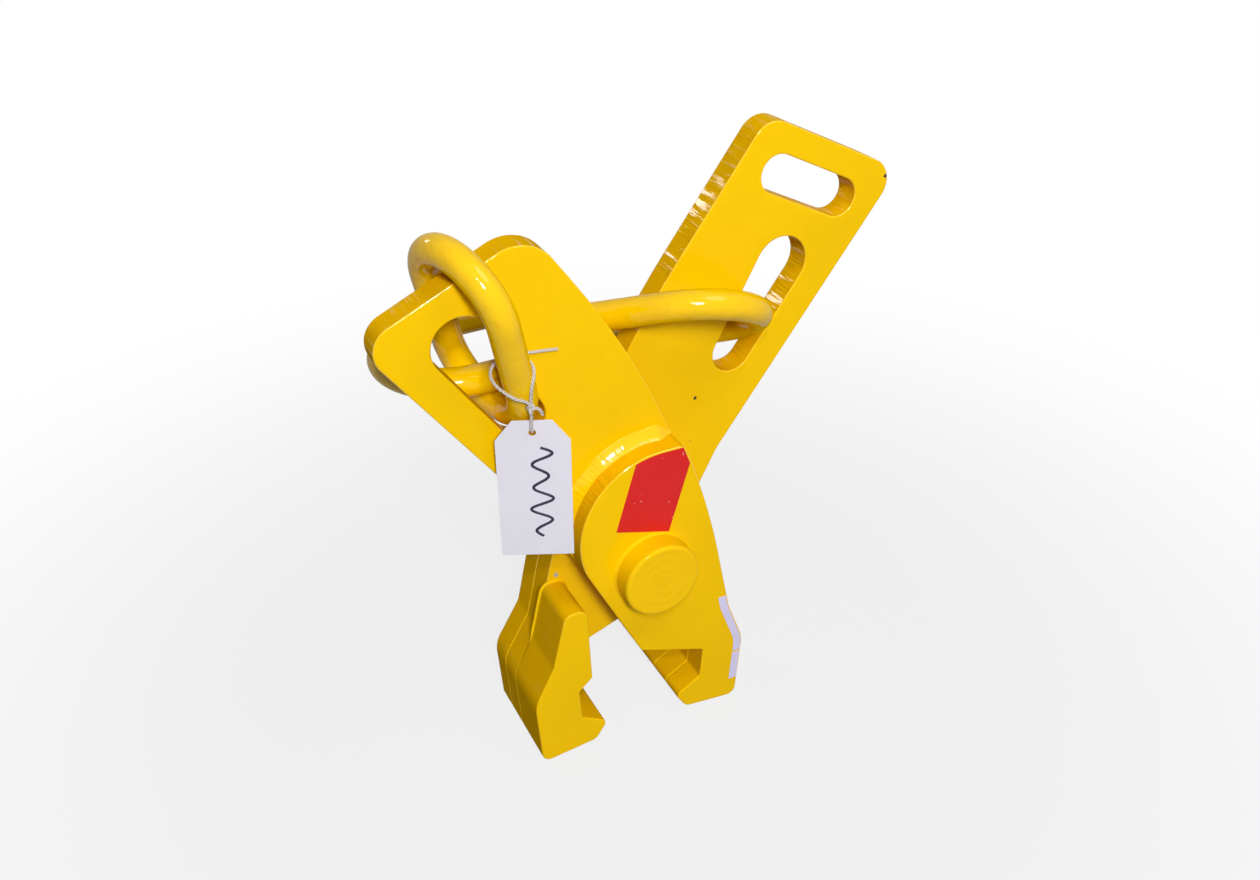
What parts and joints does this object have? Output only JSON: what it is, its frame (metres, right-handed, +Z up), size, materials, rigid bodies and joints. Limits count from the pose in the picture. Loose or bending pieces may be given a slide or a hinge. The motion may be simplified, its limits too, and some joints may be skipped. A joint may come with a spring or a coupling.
{
  "type": "rail lifting tongs",
  "caption": "Lifting tongs of crossed flame-cut plate arms on a headed pin, with hooked jaws for a rail head and a bar ring and links joining the upper ends.",
  "frame": {"origin": "on the floor under the middle of the tongs' own outline, the tag left out", "axes": "+X towards the long arm's upper end, -Y towards the front where the pin's head is, +Z up"},
  "size_m": [0.4728, 0.2168, 0.5586],
  "materials": {
    "yellow_paint": "thick glossy yellow paint over flame-cut steel",
    "spring_steel": "bare spring steel",
    "bronze": "turned bearing bronze",
    "red_film": "glossy red sticker, bare",
    "white_film": "pale sticker strip, bare",
    "card": "plain card, bare",
    "string": "twisted string"
  },
  "bodies": {
    "front_arm": {"left_arm_plate": "yellow_paint", "front_cheek": "yellow_paint", "right_jaw_block": "yellow_paint", "front_cheek_weld": "yellow_paint", "right_jaw_weld": "yellow_paint", "pivot_pin": "yellow_paint", "pin_weld": "yellow_paint", "pin_collar": "yellow_paint", "collar_roll_pin": "spring_steel", "red_label": "red_film", "jaw_label_upper": "white_film", "jaw_label_lower": "white_film"},
    "rear_arm": {"right_arm_plate": "yellow_paint", "rear_cheek": "yellow_paint", "left_jaw_block": "yellow_paint", "rear_cheek_weld": "yellow_paint", "left_jaw_weld": "yellow_paint", "pivot_bush": "bronze"},
    "ring": {"lifting_ring": "yellow_paint", "tag_string": "string"},
    "left_link": {"left_link": "yellow_paint"},
    "right_link": {"right_link": "yellow_paint"},
    "tag": {"tag": "card"}
  },
  "joints": [
    {"name": "jaw_pivot", "type": "hinge", "parent": "front_arm", "child": "rear_arm", "pos_m": [-0.01823, -0.03613, 0.18954], "axis": [0, -1, 0], "range_deg": [0, 22]},
    {"name": "left_link_swing", "type": "hinge", "parent": "front_arm", "child": "left_link", "pos_m": [-0.18689, 0.03567, 0.37379], "axis": [0, -1, 0], "range_deg": [0, 42.5]},
    {"name": "right_link_swing", "type": "hinge", "parent": "rear_arm", "child": "right_link", "pos_m": [0.20011, -0.00763, 0.32133], "axis": [0, -1, 0], "range_deg": [-25.6, 0]},
    {"name": "ring_lift", "type": "slide", "parent": "front_arm", "child": "ring", "axis": [-0.5255, 0, 0.8508], "range_m": [0, 0.0051]},
    {"name": "tag_swing", "type": "hinge", "parent": "ring", "child": "tag", "pos_m": [-0.12393, -0.08233, 0.35694], "axis": [-0.9136, 0.4067, 0], "range_deg": [0, 20]}
  ],
  "couplings": [
    {"joint": "left_link_swing", "follows": "jaw_pivot", "ratio": 1.918},
    {"joint": "right_link_swing", "follows": "jaw_pivot", "ratio": -1.152},
    {"joint": "ring_lift", "follows": "jaw_pivot", "m_per_rad": 0.013022}
  ]
}
